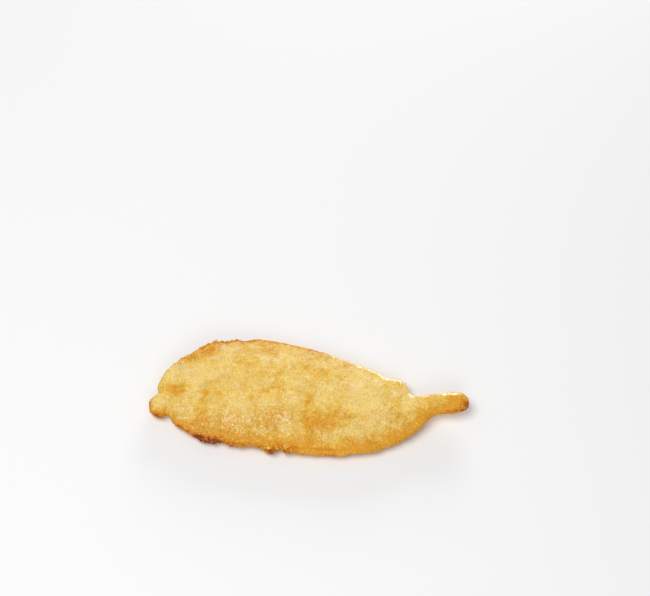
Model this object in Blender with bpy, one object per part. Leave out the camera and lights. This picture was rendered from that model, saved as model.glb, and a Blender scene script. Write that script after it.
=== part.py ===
"""A tempura anchovy: one fillet opened out flat, dipped in batter and fried, lying on its underside.

Metres, +Z up. +X runs from the head end to the tail. +Y is the far side and -Y the near side.
The origin is under the middle of the piece, on the surface that it rests on.
"""

import math

import bpy
import numpy as np
from mathutils import Vector, noise

MM = 0.001

# Driving dimensions of the fried piece
LENGTH = 116 * MM
WIDTH = 48.5 * MM
THICKNESS = 9 * MM

# The opened fillet seen from above: a leaf whose two flaps are widest at different places.
# Each flap's curve is a superellipse towards the head and another towards the tail.
FAR_FLAP = 0.55 * WIDTH
FAR_HEAD_X = -0.477 * LENGTH
FAR_WIDEST_X = -0.172 * LENGTH
FAR_TAIL_X = 0.405 * LENGTH
FAR_HEAD_CURVE = (2.0, 2.5)
FAR_TAIL_CURVE = (1.75, 1.0)
NEAR_FLAP = 0.43 * WIDTH
NEAR_HEAD_X = -0.447 * LENGTH
NEAR_WIDEST_X = 0.086 * LENGTH
NEAR_TAIL_X = 0.412 * LENGTH
NEAR_HEAD_CURVE = (1.6, 2.8)
NEAR_TAIL_CURVE = (2.4, 1.35)

# The far flap ends in a small shoulder, which drops off steeply before the tail
SHOULDER_X = 0.290 * LENGTH
SHOULDER_REACH = 1.3 * MM
SHOULDER_RUN = 3.0 * MM
SHOULDER_EDGE_X = 0.303 * LENGTH
SHOULDER_DROP_RUN = 4.3 * MM

# The tail stub, which tapers a little from its root to its blunt tip and turns to the far side
TAIL_ROOT_HALF_WIDTH = 4.6 * MM
TAIL_TIP_HALF_WIDTH = 3.9 * MM
TAIL_ROOT_Y = -1.9 * MM
TAIL_TIP_Y = -0.9 * MM
TAIL_ROUND = 4.0 * MM
TAIL_START_X = 0.300 * LENGTH

# The bead of batter at the head end
NUB_RADIUS = 5.0 * MM
NUB_Y = -0.8 * MM
NUB_X = -0.5 * LENGTH + NUB_RADIUS

# How much batter fills the corner where two outlines meet
WEB = 0.45 * MM

# The cross-section: a rounded rim, a crowned face above it and a belly below it
RIM_RADIUS = 2.35 * MM
RIM_LIFT = 3.1 * MM
CROWN = THICKNESS - RIM_LIFT - RIM_RADIUS
CROWN_RUN = 8.5 * MM
BELLY = 0.6 * MM
BELLY_RUN = 8.0 * MM

# The belly lies flat on what carries it, over an oval under the thickest part
PAD_X = -0.05 * LENGTH
PAD_HALF_LENGTH = 0.18 * LENGTH
PAD_HALF_WIDTH = 0.20 * WIDTH
PAD_DROP = 1.5 * MM

# The warp of frying: the tail and the far head corner stand clear
TAIL_RISE = 2.6 * MM
TAIL_RISE_START_X = 0.24 * LENGTH
CORNER_RISE = 1.3 * MM
CORNER_X = -0.30 * LENGTH
CORNER_Y = 0.45 * WIDTH
CORNER_RUN = 17 * MM

# The groove where the backbone was
GROOVE_DEPTH = 0.45 * MM
GROOVE_HALF_WIDTH = 2.6 * MM
GROOVE_HALF_LENGTH = 0.38 * LENGTH
GROOVE_FADE = 0.10 * LENGTH

# Soft lumps of flesh and batter, from broad to fine: (pitch, height)
LUMPS = ((11.0 * MM, 0.60 * MM), (5.0 * MM, 0.32 * MM), (2.9 * MM, 0.12 * MM))
LUMP_FADE = 4.0 * MM

# Creases on the face: (x, y at one end, x, y at the other, half width, depth)
CREASES = (
    (-3.5 * MM, -4.0 * MM, 3.5 * MM, -16.0 * MM, 1.3 * MM, 0.50 * MM),
    (35.0 * MM, 3.0 * MM, 33.0 * MM, -9.0 * MM, 1.5 * MM, 0.40 * MM),
    (-49.0 * MM, 7.5 * MM, -43.0 * MM, 4.5 * MM, 1.2 * MM, 0.45 * MM),
    (-55.0 * MM, 4.4 * MM, -50.8 * MM, 0.5 * MM, 1.1 * MM, 0.90 * MM),
    (-50.8 * MM, 0.5 * MM, -50.4 * MM, -5.6 * MM, 1.1 * MM, 0.90 * MM),
)

# Sunken patches on the face: (x, y, radius along X, radius along Y, depth)
HOLLOWS = (
    (7.0 * MM, -11.0 * MM, 7.5 * MM, 4.0 * MM, 0.75 * MM),
    (-14.5 * MM, -11.0 * MM, 4.0 * MM, 3.0 * MM, 0.50 * MM),
    (-33.0 * MM, -3.0 * MM, 6.0 * MM, 3.5 * MM, 0.45 * MM),
    (14.0 * MM, 7.0 * MM, 4.0 * MM, 3.5 * MM, 0.35 * MM),
)

# Crags and bays of crust on the rim: (x, side, reach outwards, half length)
FAR, NEAR = 1, -1
CRAGS = (
    (-38.2 * MM, NEAR, 1.2 * MM, 3.0 * MM),
    (-34.0 * MM, NEAR, 0.6 * MM, 1.2 * MM),
    (-31.5 * MM, NEAR, -0.7 * MM, 1.6 * MM),
    (-19.5 * MM, NEAR, -0.8 * MM, 4.0 * MM),
    (-15.4 * MM, NEAR, 0.9 * MM, 1.2 * MM),
    (-12.9 * MM, NEAR, 1.2 * MM, 1.5 * MM),
    (-10.2 * MM, NEAR, -1.3 * MM, 1.3 * MM),
    (-7.4 * MM, NEAR, 0.7 * MM, 0.9 * MM),
    (-5.6 * MM, NEAR, -1.2 * MM, 1.4 * MM),
    (-44.5 * MM, FAR, -0.7 * MM, 2.6 * MM),
    (-33.6 * MM, FAR, 0.7 * MM, 2.2 * MM),
    (-29.8 * MM, FAR, -0.5 * MM, 1.4 * MM),
    (-19.0 * MM, FAR, 0.5 * MM, 3.5 * MM),
    (7.4 * MM, FAR, 0.4 * MM, 1.2 * MM),
)
RIPPLE_HEIGHT = 0.40 * MM
RIPPLE_PITCH = 4.5 * MM

# Rougher crust beside the rim: (x, y, radius along X, radius along Y, height)
CRUSTS = (
    (-38.0 * MM, 21.0 * MM, 10.0 * MM, 5.0 * MM, 0.85 * MM),
    (-36.0 * MM, -14.0 * MM, 10.0 * MM, 3.5 * MM, 0.75 * MM),
    (-12.0 * MM, -18.5 * MM, 7.0 * MM, 3.0 * MM, 0.75 * MM),
    (53.0 * MM, -3.0 * MM, 4.0 * MM, 2.5 * MM, 0.30 * MM),
)
CRUST_PITCH = 3.1 * MM

# How finely the skin is divided: stations from head to tail, and points round each
STATIONS = 96
RING_POINTS = 56
END_CROWDING = 0.85
RIM_CROWDING = 0.66

# Where each noise is read, so that no two agree
FACE_SEED = 3.1
UNDERSIDE_SEED = 17.7
RIPPLE_SEED = 41.3
GROOVE_SEED = 29.9
CRUST_SEED = 53.5

BATTER_COLOUR = (0.80, 0.52, 0.14, 1.0)
BATTER_ROUGHNESS = 0.45


def clear_scene():
    for obj in list(bpy.data.objects):
        bpy.data.objects.remove(obj)


def smooth_step(value, start, end):
    t = np.clip((value - start) / (end - start), 0.0, 1.0)
    return t * t * (3 - 2 * t)


def smooth_max(first, second, web):
    """The larger of the two, with a fillet about as wide as web where they cross."""
    gap = np.clip(1 - abs(first - second) / (4 * web), 0.0, 1.0)
    return np.maximum(first, second) + web * gap * gap


def quarter(x, widest, end, curve):
    """A superellipse's quarter: 1 at the widest place, falling to 0 at the end and beyond."""
    power, root = curve
    u = np.clip((x - widest) / (end - widest), 0.0, 1.0)
    return (1 - u**power) ** (1 / root)


def flap(x, side):
    """How far the fillet's flap reaches from the backbone line on one side."""
    if side == FAR:
        to_head = quarter(x, FAR_WIDEST_X, FAR_HEAD_X, FAR_HEAD_CURVE)
        return FAR_FLAP * to_head * quarter(x, FAR_WIDEST_X, FAR_TAIL_X, FAR_TAIL_CURVE)
    to_head = quarter(x, NEAR_WIDEST_X, NEAR_HEAD_X, NEAR_HEAD_CURVE)
    return NEAR_FLAP * to_head * quarter(x, NEAR_WIDEST_X, NEAR_TAIL_X, NEAR_TAIL_CURVE)


def shouldered(x, side):
    """The flap's reach, with the shoulder that ends the far one."""
    if side == NEAR:
        return flap(x, side)
    shoulder = SHOULDER_REACH * np.exp(-(((x - SHOULDER_X) / SHOULDER_RUN) ** 2))
    drop = smooth_step(x, SHOULDER_EDGE_X, SHOULDER_EDGE_X + SHOULDER_DROP_RUN)
    return (flap(x, side) + shoulder) * (1 - drop)


def tail(x, side):
    """How far the tail stub reaches on one side of the backbone line, with its blunt round tip."""
    tip = LENGTH / 2
    along = smooth_step(x, TAIL_START_X, tip)
    half_width = TAIL_ROOT_HALF_WIDTH + (TAIL_TIP_HALF_WIDTH - TAIL_ROOT_HALF_WIDTH) * along
    into_round = np.clip((x - (tip - TAIL_ROUND)) / TAIL_ROUND, 0.0, 1.0)
    begins = smooth_step(x, TAIL_START_X - TAIL_ROUND, TAIL_START_X)
    middle = TAIL_ROOT_Y + (TAIL_TIP_Y - TAIL_ROOT_Y) * along
    return (half_width * np.sqrt(1 - into_round**2) + side * middle) * begins


def nub(x, side):
    """How far the head's bead of batter reaches on one side of the backbone line."""
    inside = np.clip(1 - ((x - NUB_X) / NUB_RADIUS) ** 2, 0.0, 1.0)
    return (NUB_RADIUS * np.sqrt(inside) + side * NUB_Y) * (inside > 0)


def crags(x, side):
    """The crust's lumps and ripples on the rim, which die out at both tips."""
    total = np.zeros_like(x)
    for place, crag_side, reach, half_length in CRAGS:
        if crag_side == side:
            total += reach * np.exp(-(((x - place) / half_length) ** 2))
    ripple = [noise.noise(Vector((v / RIPPLE_PITCH, side, RIPPLE_SEED))) for v in x]
    from_tip = LENGTH / 2 - np.abs(x)
    return (total + RIPPLE_HEIGHT * np.array(ripple)) * smooth_step(from_tip, 0.0, 3 * RIM_RADIUS)


def edge(x, side):
    """The Y of the outline on one side, at each x."""
    reach = smooth_max(shouldered(x, side), tail(x, side), WEB)
    reach = smooth_max(reach, nub(x, side), WEB)
    from_tip = LENGTH / 2 - np.abs(x)
    return side * (reach + crags(x, side)) * smooth_step(from_tip, 0.0, 0.15 * MM)


def outline():
    """Points round the piece, seen from above, close enough together to measure from."""
    t = np.linspace(0, math.pi, 1200)
    x = -LENGTH / 2 * np.cos(t)
    far = np.stack([x, edge(x, FAR)], axis=1)
    near = np.stack([x, edge(x, NEAR)], axis=1)
    return np.concatenate([far, near[::-1]])


def inset_from(line, x, y):
    """The distance from each point to the outline."""
    ends = np.roll(line, -1, axis=0)
    step = ends - line
    length_squared = np.maximum((step**2).sum(axis=1), 1e-18)
    points = np.stack([x.ravel(), y.ravel()], axis=1)
    nearest = np.empty(len(points))
    for i, point in enumerate(points):
        along = np.clip(((point - line) * step).sum(axis=1) / length_squared, 0.0, 1.0)
        away = line + step * along[:, None] - point
        nearest[i] = math.sqrt((away**2).sum(axis=1).min())
    return nearest.reshape(x.shape)


def noise_at(x, y, pitch, seed):
    values = [
        noise.noise(Vector((a / pitch, b / pitch, seed)))
        for a, b in zip(x.ravel(), y.ravel())
    ]
    return np.array(values).reshape(x.shape)


def lumps(x, y, seed):
    return sum(
        height * noise_at(x, y, pitch, seed + octave)
        for octave, (pitch, height) in enumerate(LUMPS)
    )


def oval(x, y, centre_x, centre_y, half_length, half_width):
    """1 in the middle of an oval, fading to 0 outside it."""
    r = ((x - centre_x) / half_length) ** 2 + ((y - centre_y) / half_width) ** 2
    return np.exp(-r)


def rim_height(x, y):
    """The height of the rim's mid line above the resting surface, before it is rounded."""
    tail_rise = TAIL_RISE * smooth_step(x, TAIL_RISE_START_X, LENGTH / 2)
    corner_rise = CORNER_RISE * oval(x, y, CORNER_X, CORNER_Y, CORNER_RUN, CORNER_RUN)
    return RIM_LIFT + tail_rise + corner_rise


def rounded(inset):
    """The rim's quarter round, from 0 on the outline to its full radius inside."""
    u = np.clip(1 - inset / RIM_RADIUS, 0.0, 1.0)
    return RIM_RADIUS * np.sqrt(1 - u * u)


def crease(x, y, x0, y0, x1, y1, half_width):
    """1 along a line between two places, fading to 0 on either side of it."""
    span_x, span_y = x1 - x0, y1 - y0
    share = ((x - x0) * span_x + (y - y0) * span_y) / (span_x**2 + span_y**2)
    share = np.clip(share, 0.0, 1.0)
    away_squared = (x - x0 - share * span_x) ** 2 + (y - y0 - share * span_y) ** 2
    return np.exp(-away_squared / half_width**2)


def crust(x, y, seed):
    """The rough crust beside the rim."""
    height = sum(h * oval(x, y, cx, cy, rx, ry) for cx, cy, rx, ry, h in CRUSTS)
    return height * noise_at(x, y, CRUST_PITCH, seed)


def face_rise(x, y, inset, middle):
    """How far the shown face stands above the rim's mid line."""
    crown = CROWN * (1 - np.exp(-((inset / CROWN_RUN) ** 2)))
    wander = 1 + noise_at(x, y, 2.5 * GROOVE_HALF_WIDTH, GROOVE_SEED)
    groove = GROOVE_DEPTH * wander * np.exp(-(((y - middle) / GROOVE_HALF_WIDTH) ** 2))
    groove *= smooth_step(GROOVE_HALF_LENGTH - np.abs(x), 0.0, GROOVE_FADE)
    sunk = sum(depth * oval(x, y, cx, cy, rx, ry) for cx, cy, rx, ry, depth in HOLLOWS)
    creased = sum(depth * crease(x, y, *line, w) for *line, w, depth in CREASES)
    relief = lumps(x, y, FACE_SEED) - groove - sunk
    sharp = crust(x, y, CRUST_SEED) - creased
    inland = relief * smooth_step(inset, 0.0, LUMP_FADE)
    return rounded(inset) + crown + inland + sharp * smooth_step(inset, 0.0, RIM_RADIUS / 2)


def underside_drop(x, y, inset):
    """How far the underside hangs below the rim's mid line."""
    belly = BELLY * (1 - np.exp(-((inset / BELLY_RUN) ** 2)))
    pad = PAD_DROP * oval(x, y, PAD_X, 0.0, PAD_HALF_LENGTH, PAD_HALF_WIDTH)
    relief = lumps(x, y, UNDERSIDE_SEED)
    rough = crust(x, y, -CRUST_SEED) * smooth_step(inset, 0.0, RIM_RADIUS / 2)
    drop = rounded(inset) + belly + rough
    return drop + (pad + relief) * smooth_step(inset, 0.0, LUMP_FADE)


def crowded(values, share):
    """-1 to 1 as a cosine crowds it at both ends, eased by share towards even steps."""
    even = 1 - 2 * values / math.pi
    return share * np.cos(values) + (1 - share) * even


def skin_points():
    """The rings of the skin, one for each station, and the two tips that close them."""
    line = outline()
    t = np.linspace(0, math.pi, STATIONS + 2)
    x = -LENGTH / 2 * crowded(t, END_CROWDING)
    far, near = edge(x, FAR), edge(x, NEAR)
    middle, half = (far + near) / 2, (far - near) / 2

    turns = np.arange(RING_POINTS) / RING_POINTS * 2
    across = crowded(math.pi * np.minimum(turns, 2 - turns), RIM_CROWDING)
    ring_x = np.repeat(x[1:-1, None], RING_POINTS, axis=1)
    ring_middle = np.repeat(middle[1:-1, None], RING_POINTS, axis=1)
    ring_y = ring_middle + half[1:-1, None] * across[None, :]
    inset = inset_from(line, ring_x, ring_y)

    base = rim_height(ring_x, ring_y)
    above = base + face_rise(ring_x, ring_y, inset, ring_middle)
    below = np.maximum(base - underside_drop(ring_x, ring_y, inset), 0.0)
    on_face = (turns > 0) & (turns < 1)
    on_underside = turns > 1
    z = np.where(on_face, above, np.where(on_underside, below, base))
    rings = np.stack([ring_x, ring_y, z], axis=2)

    tips = [(x[i], middle[i], rim_height(x[i], middle[i])) for i in (0, -1)]
    return rings, tips


def skin_faces():
    """Quads from ring to ring and a fan of triangles at each tip, all facing out."""
    faces = []
    for station in range(STATIONS - 1):
        for point in range(RING_POINTS):
            following = (point + 1) % RING_POINTS
            here, there = station * RING_POINTS, (station + 1) * RING_POINTS
            faces.append((here + point, here + following, there + following, there + point))
    head_tip = STATIONS * RING_POINTS
    tail_tip = head_tip + 1
    last = (STATIONS - 1) * RING_POINTS
    for point in range(RING_POINTS):
        following = (point + 1) % RING_POINTS
        faces.append((head_tip, following, point))
        faces.append((tail_tip, last + point, last + following))
    return faces


def batter_material():
    material = bpy.data.materials.new("fried_batter")
    material.use_nodes = True
    shader = material.node_tree.nodes["Principled BSDF"]
    shader.inputs["Base Color"].default_value = BATTER_COLOUR
    shader.inputs["Roughness"].default_value = BATTER_ROUGHNESS
    shader.inputs["Metallic"].default_value = 0.0
    return material


def centred(points):
    """The points moved so that the box round them stands on the origin."""
    low, high = points.min(axis=0), points.max(axis=0)
    return points - np.array([(low[0] + high[0]) / 2, (low[1] + high[1]) / 2, low[2]])


def tempura_anchovy():
    rings, tips = skin_points()
    points = centred(np.concatenate([rings.reshape(-1, 3), np.array(tips)]))
    mesh = bpy.data.meshes.new("tempura_anchovy")
    mesh.from_pydata(points.tolist(), [], skin_faces())
    mesh.validate()
    mesh.shade_smooth()
    mesh.materials.append(batter_material())
    piece = bpy.data.objects.new("tempura_anchovy", mesh)
    bpy.context.scene.collection.objects.link(piece)
    return piece


clear_scene()
tempura_anchovy()
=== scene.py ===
import math
import random
from typing import NamedTuple

import bmesh
import bpy
import numpy as np
from bpy.props import (
    FloatProperty,
    FloatVectorProperty,
    IntProperty,
    PointerProperty,
)
from mathutils import Matrix, Vector, kdtree, noise


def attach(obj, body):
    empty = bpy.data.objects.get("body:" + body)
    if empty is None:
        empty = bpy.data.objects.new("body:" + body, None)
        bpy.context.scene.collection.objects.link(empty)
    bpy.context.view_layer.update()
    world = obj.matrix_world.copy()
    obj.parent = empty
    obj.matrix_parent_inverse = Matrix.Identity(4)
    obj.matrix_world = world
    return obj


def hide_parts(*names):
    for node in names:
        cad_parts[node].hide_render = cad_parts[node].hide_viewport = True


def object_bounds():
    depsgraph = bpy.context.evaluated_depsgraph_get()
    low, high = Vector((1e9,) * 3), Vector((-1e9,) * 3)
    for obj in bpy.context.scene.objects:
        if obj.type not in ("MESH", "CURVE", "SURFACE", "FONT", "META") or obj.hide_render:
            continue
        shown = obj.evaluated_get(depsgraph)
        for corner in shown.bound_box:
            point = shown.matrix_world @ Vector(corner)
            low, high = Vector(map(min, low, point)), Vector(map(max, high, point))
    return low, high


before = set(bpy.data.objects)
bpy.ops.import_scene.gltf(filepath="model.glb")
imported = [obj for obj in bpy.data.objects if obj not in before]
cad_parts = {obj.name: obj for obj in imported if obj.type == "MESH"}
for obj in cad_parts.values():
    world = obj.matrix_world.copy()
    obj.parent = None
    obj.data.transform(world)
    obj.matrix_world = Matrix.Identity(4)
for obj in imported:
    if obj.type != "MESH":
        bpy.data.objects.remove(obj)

bl_info = {
    "name": "Tempura Anchovy",
    "version": (1, 0, 0),
    "blender": (4, 5, 0),
    "location": "3D View > Sidebar > Anchovy",
    "description": "Dresses the fried fillet in its batter crust and crumbs, and sets the stage",
    "category": "Object",
}

MM = 0.001
NODE = "tempura_anchovy"
CRUST_PIECE = "batter_crust"
CRUMB_PIECE = "batter_crumbs"
BODY = "root"
TONE = "crust_tone"
CAD_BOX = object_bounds()
LENGTH = CAD_BOX[1][0] - CAD_BOX[0][0]

# Each place on the piece is (x, y, half length, half width, amount), the first four in millimetres.
# Where places overlap, their amounts add up, to 1 at most.

# Where the rim's crust breaks up into crags
CRAGGY = (
    (-38, -16, 8, 4.0, 0.6),
    (-25, -18.5, 6, 3.5, 0.75),
    (-13, -21, 4.5, 3.5, 1.0),
    (-7, -22, 2.5, 3, 0.7),
    (-46, 17, 8, 6, 0.8),
    (-34, 22, 6, 4, 0.9),
    (50, -7.5, 5, 2.5, 0.4),
    (-54, -7, 4, 3, 0.3),
)
# Where the crust is fried darkest, and two places on the near rim that are darker partly as painted shade
TOASTED_AND_SHADED = (
    (-38.5, -18.4, 5.2, 2.8, 1.4),
    # These two darken the near rim partly as painted shade under its fringe
    (-30, -19.5, 5, 1.8, 0.42),
    (-21, -21.5, 5, 1.6, 0.30),
    (-47, -13.5, 5, 2.2, 0.45),
    (-13.5, -23.8, 2.6, 1.8, 0.45),
    (-8.5, -23.0, 2.6, 1.3, 0.30),
    (6, -25.0, 9, 1.8, 0.30),
    (56.2, -5.6, 2.6, 3.0, 0.46),
    (57.3, -6.9, 1.6, 2.0, 0.26),
    (52, -8.3, 4, 1.4, 0.30),
    (-55.5, -8, 3, 1.8, 0.55),
    (-57.6, -4, 1.4, 3.2, 0.40),
    (-44, 16.5, 6, 4, 0.30),
    (-36, 20.5, 6, 4, 0.28),
    (-25, 23.5, 4, 1.4, 0.45),
    (-53, 10, 2.5, 4, 0.2),
    (7.4, 18.6, 1.0, 0.9, 0.9),
    (28, 8.9, 0.8, 0.7, 0.9),
)
# Where the face is a deeper gold
GOLDEN = (
    (7, -13.2, 6.5, 3.4, 1.0),
    (12, -12, 3, 2.5, 0.6),
    (-38, -10, 2.6, 5, 0.85),
    (-38, -3, 1.6, 1.6, 0.9),
    (-44, 13.5, 5, 3, 0.75),
    (-37.5, 17.3, 5, 3, 0.75),
    (-15.5, 18, 3, 1.6, 0.45),
    (-24, 12, 2.2, 2.2, 0.5),
    (-9.5, 5.5, 1.5, 2.5, 0.45),
    (-12.5, 0.2, 4.5, 1.8, 0.5),
    (-23, 5, 1.6, 1.4, 0.5),
    (-33, 2, 2.5, 4, 0.35),
    (-14, -10.5, 4, 3, 0.7),
    (-0.5, -13, 1.8, 6, 0.65),
    (-0.3, -3.5, 1.8, 3.5, 0.6),
    (7, 7, 3.5, 1.8, 0.35),
    (30, -6, 3, 4, 0.45),
    (-48, 1.6, 4.5, 1.8, 0.95),
    (-47, -1.8, 1.8, 3.0, 0.8),
    (53.5, -4, 4.5, 5, 1.0),
    (46, -3, 5, 4, 0.5),
    (16, 12, 4, 3, 0.25),
)
# Where the face stays pale
PALE = (
    (21, -3, 7, 9, 0.9),
    (20, 6, 6, 5, 0.5),
    (27, -12, 5, 4, 0.6),
    (14, -15.5, 5, 3, 0.7),
    (5.5, -1.5, 3.5, 3.5, 0.6),
    (-5, 2, 3, 4, 0.7),
    (-13.5, -6.5, 3, 3, 0.7),
    (-8, -12, 3.5, 3, 1.0),
    (-29.5, 15.5, 2.5, 3.5, 0.8),
    (-17.5, 13.5, 2.5, 2.5, 0.6),
    (-7.5, 15, 4, 3, 0.6),
    (-48, 10, 4, 4, 0.9),
    (-40, 7, 3.5, 4, 0.7),
    (-48, -6, 3, 4, 0.6),
    (-30, 5, 6, 5, 0.3),
    (-44, 3, 9, 10, 0.5),
    (-31, 20, 2.5, 2, 0.9),
    (36, -5, 3, 5, 0.4),
    (-53.6, -5, 2.2, 2.2, 0.5),
    (-26, -8, 4, 3, 0.4),
)
# Where the face is grainy and glistens with oil
OILY = (
    (-28, -14, 17, 6, 0.8),
    (-9, -11, 6, 4, 0.9),
    (-48, -8, 5, 5, 0.5),
    (6, -17, 9, 3, 0.6),
    (26, -12, 12, 5, 0.45),
    (-44, 12, 8, 5, 0.4),
    (0, 1, 5, 4, 0.35),
    (14, 2, 6, 4, 0.35),
)

# Stretches of the rim: where each fades in and where it fades out, in millimetres along X
WET_STRETCH = ((3, 8), (53, 58))
SHOULDER_STRETCH = ((24, 28), (36, 39))
ROLL_STRETCH = ((-9, -5), (11, 16))
BROWN_LINE_STRETCH = ((-46, -30), (3, 8))

# The nub at the head end, in millimetres
NUB_MIDDLE = (-54.4, -4.8)
NUB_RADIUS = 3.4
NUB_HEIGHT = 0.45
# What lies beside the nub: its X on the near rim or its Y on the far one, its half width and its
# depth or height, in millimetres
NEAR_NOTCH = (-51.2, 1.3, 1.2)
FAR_NOTCH = (1.2, 0.7, 0.5)
FAR_FLAP = (3.9, 1.8, 0.75)

# The remesh has failed if it gives fewer faces than this
FEWEST_FACES = 10000
# Rounds of smoothing for the normals, the wet bead's mask and the form under the bead
NORMAL_ROUNDS = 6
WET_MASK_ROUNDS = 8
WET_FORM_ROUNDS = 30
# A normal with less height than this belongs to the upright side of the rim
UPRIGHT = 0.12
# Share of the blisters that have burst, and the seeds of the random draws
BURST_SHARE = 0.25
BLISTER_SEED = 7
CRUMB_SEED = 19


class CrustSettings(bpy.types.PropertyGroup):
    """How the batter crust is shaped."""

    face_side: FloatProperty(
        name="Face side",
        description="Side of the crust's mesh faces",
        default=0.33 * MM,
        unit="LENGTH",
    )
    easing: IntProperty(
        name="Easing",
        description="Rounds of smoothing that take the facets off the solid",
        default=6,
    )
    swell: FloatProperty(
        name="Swell",
        description="Height of the soft lumps in the batter",
        default=0.36 * MM,
        unit="LENGTH",
    )
    pebble: FloatProperty(
        name="Pebble",
        description="Height of the fine bubbles all over",
        default=0.20 * MM,
        unit="LENGTH",
    )
    pebble_pitch: FloatProperty(
        name="Pebble pitch",
        description="Distance from one fine bubble to the next",
        default=1.25 * MM,
        unit="LENGTH",
    )
    crag: FloatProperty(
        name="Crag",
        description="Height of the broken crust on the rim",
        default=1.1 * MM,
        unit="LENGTH",
    )
    blisters: IntProperty(
        name="Blisters",
        description="How many larger bubbles have risen in the batter",
        default=170,
    )
    blister_radius: FloatProperty(
        name="Blister radius",
        description="Radius of the largest blister",
        default=2.3 * MM,
        unit="LENGTH",
    )
    lip: FloatProperty(
        name="Lip",
        description="How far the thin roll of batter stands out below the near rim",
        default=0.55 * MM,
        unit="LENGTH",
    )
    fine_grain: FloatProperty(
        name="Fine grain",
        description="Depth of the grain that is finer than the mesh",
        default=0.16 * MM,
        unit="LENGTH",
    )
    speckling: FloatProperty(
        name="Speckling",
        description="Strength of the small fried dots",
        default=1.0,
        subtype="FACTOR",
    )


class BatterColours(bpy.types.PropertyGroup):
    """The colours of the fried batter, from the palest to the darkest."""

    # Milk also paints the highlights on the bubble tops and along the far rim's bead.
    milk: FloatVectorProperty(
        name="Milk", description="Thin see-through batter", subtype="COLOR", default=(0.95, 0.76, 0.37)
    )
    cream: FloatVectorProperty(
        name="Cream", description="Palest batter", subtype="COLOR", default=(0.88, 0.65, 0.205)
    )
    gold: FloatVectorProperty(
        name="Gold", description="Batter of the face", subtype="COLOR", default=(0.81, 0.515, 0.080)
    )
    amber: FloatVectorProperty(
        name="Amber", description="Deeper fried patches", subtype="COLOR", default=(0.755, 0.35, 0.018)
    )
    toast: FloatVectorProperty(
        name="Toast", description="Browned rim", subtype="COLOR", default=(0.53, 0.130, 0.005)
    )
    brown: FloatVectorProperty(
        name="Brown", description="Darkest crags and specks", subtype="COLOR", default=(0.20, 0.024, 0.002)
    )


class FryingSettings(bpy.types.PropertyGroup):
    """Where and how much the frying has coloured the crust, and where painted shade darkens it."""

    plain_gold: FloatProperty(
        name="Plain gold", description="How golden the plain face is", default=0.36, subtype="FACTOR"
    )
    gold_range: FloatProperty(
        name="Gold range", description="How much the patches change it", default=0.62, subtype="FACTOR"
    )
    near_gold: FloatProperty(name="Near gold", description="Extra gold behind the near rim", default=1.15)
    paleness: FloatProperty(
        name="Paleness", description="How much the pale places take away", default=0.8, subtype="FACTOR"
    )
    rim_toast: FloatProperty(
        name="Rim toast", description="Browning of the whole rim", default=0.10, subtype="FACTOR"
    )
    # Extra darkening of the rim's near side, partly browning and partly painted shade
    near_toast_and_shade: FloatProperty(
        name="Near toast", description="Extra browning of the near rim", default=0.12, subtype="FACTOR"
    )
    far_line: FloatProperty(
        name="Far line", description="Browning just behind the far rim", default=0.45, subtype="FACTOR"
    )
    unevenness: FloatProperty(
        name="Unevenness", description="How much the browning varies", default=0.35, subtype="FACTOR"
    )


class CrumbSettings(bpy.types.PropertyGroup):
    """The crumbs of batter that stick to the crust."""

    count: IntProperty(name="Count", description="How many crumbs there are", default=130)
    smallest: FloatProperty(
        name="Smallest", description="Length of the smallest crumb", default=0.45 * MM, unit="LENGTH"
    )
    largest: FloatProperty(
        name="Largest", description="Length of the largest crumb", default=1.7 * MM, unit="LENGTH"
    )
    fine_grain: FloatProperty(
        name="Fine grain",
        description="Depth of the grain that is finer than the mesh",
        default=0.06 * MM,
        unit="LENGTH",
    )
    speckling: FloatProperty(
        name="Speckling", description="Strength of the small fried dots", default=0.4, subtype="FACTOR"
    )


class StageSettings(bpy.types.PropertyGroup):
    """The floor, the lights and the camera."""

    floor: FloatVectorProperty(
        name="Floor", description="Colour of the floor", subtype="COLOR", default=(0.90, 0.90, 0.90)
    )
    floor_side: FloatProperty(
        name="Floor side", description="Side of the floor", default=4.0, unit="LENGTH"
    )
    key_power: FloatProperty(
        name="Key power", description="Watts of the softbox above", default=3.8, unit="POWER"
    )
    rim_power: FloatProperty(
        name="Rim power", description="Watts of the low softbox behind", default=2.5, unit="POWER"
    )
    fill_power: FloatProperty(
        name="Fill power", description="Watts of the softbox in front", default=2.1, unit="POWER"
    )
    room_light: FloatProperty(
        name="Room light", description="Strength of the even light all round", default=0.32
    )
    elevation: FloatProperty(
        name="Elevation",
        description="How steeply the camera looks down on the piece",
        default=math.radians(60),
        subtype="ANGLE",
    )
    lens: FloatProperty(name="Lens", description="Focal length in millimetres", default=100.0)


def smooth_step(value, start, end):
    """0 up to the start, 1 from the end on, and a soft rise between them."""
    t = np.clip((value - start) / (end - start), 0.0, 1.0)
    return t * t * (3 - 2 * t)


def fade(value, start, end):
    """1 up to the start, 0 from the end on, and a soft fall between them."""
    return 1 - smooth_step(value, start, end)


def hump(value, middle, width):
    """A soft bump: 1 at the middle, and about a third at the width to either side."""
    return np.exp(-(((value - middle) / width) ** 2))


def stretch(points, ends):
    """1 along a stretch of the piece, and 0 outside it."""
    x = points[:, 0]
    fade_in, fade_out = ends
    return smooth_step(x, fade_in[0] * MM, fade_in[1] * MM) * fade(x, fade_out[0] * MM, fade_out[1] * MM)


def places(points, entries):
    """The summed amount of the places, at each point seen from above, and 1 at most."""
    total = np.zeros(len(points))
    for x, y, half_length, half_width, amount in entries:
        along = (points[:, 0] - x * MM) / (half_length * MM)
        across = (points[:, 1] - y * MM) / (half_width * MM)
        total += amount * np.exp(-(along**2) - across**2)
    return np.clip(total, 0.0, 1.0)


def cloud(points, pitch, seed):
    """Smooth noise from -1 to 1 at each point."""
    shifted = points / pitch + np.array([seed, 2.3 * seed, -1.7 * seed])
    return np.array([noise.noise(p) for p in shifted.tolist()])


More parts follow.
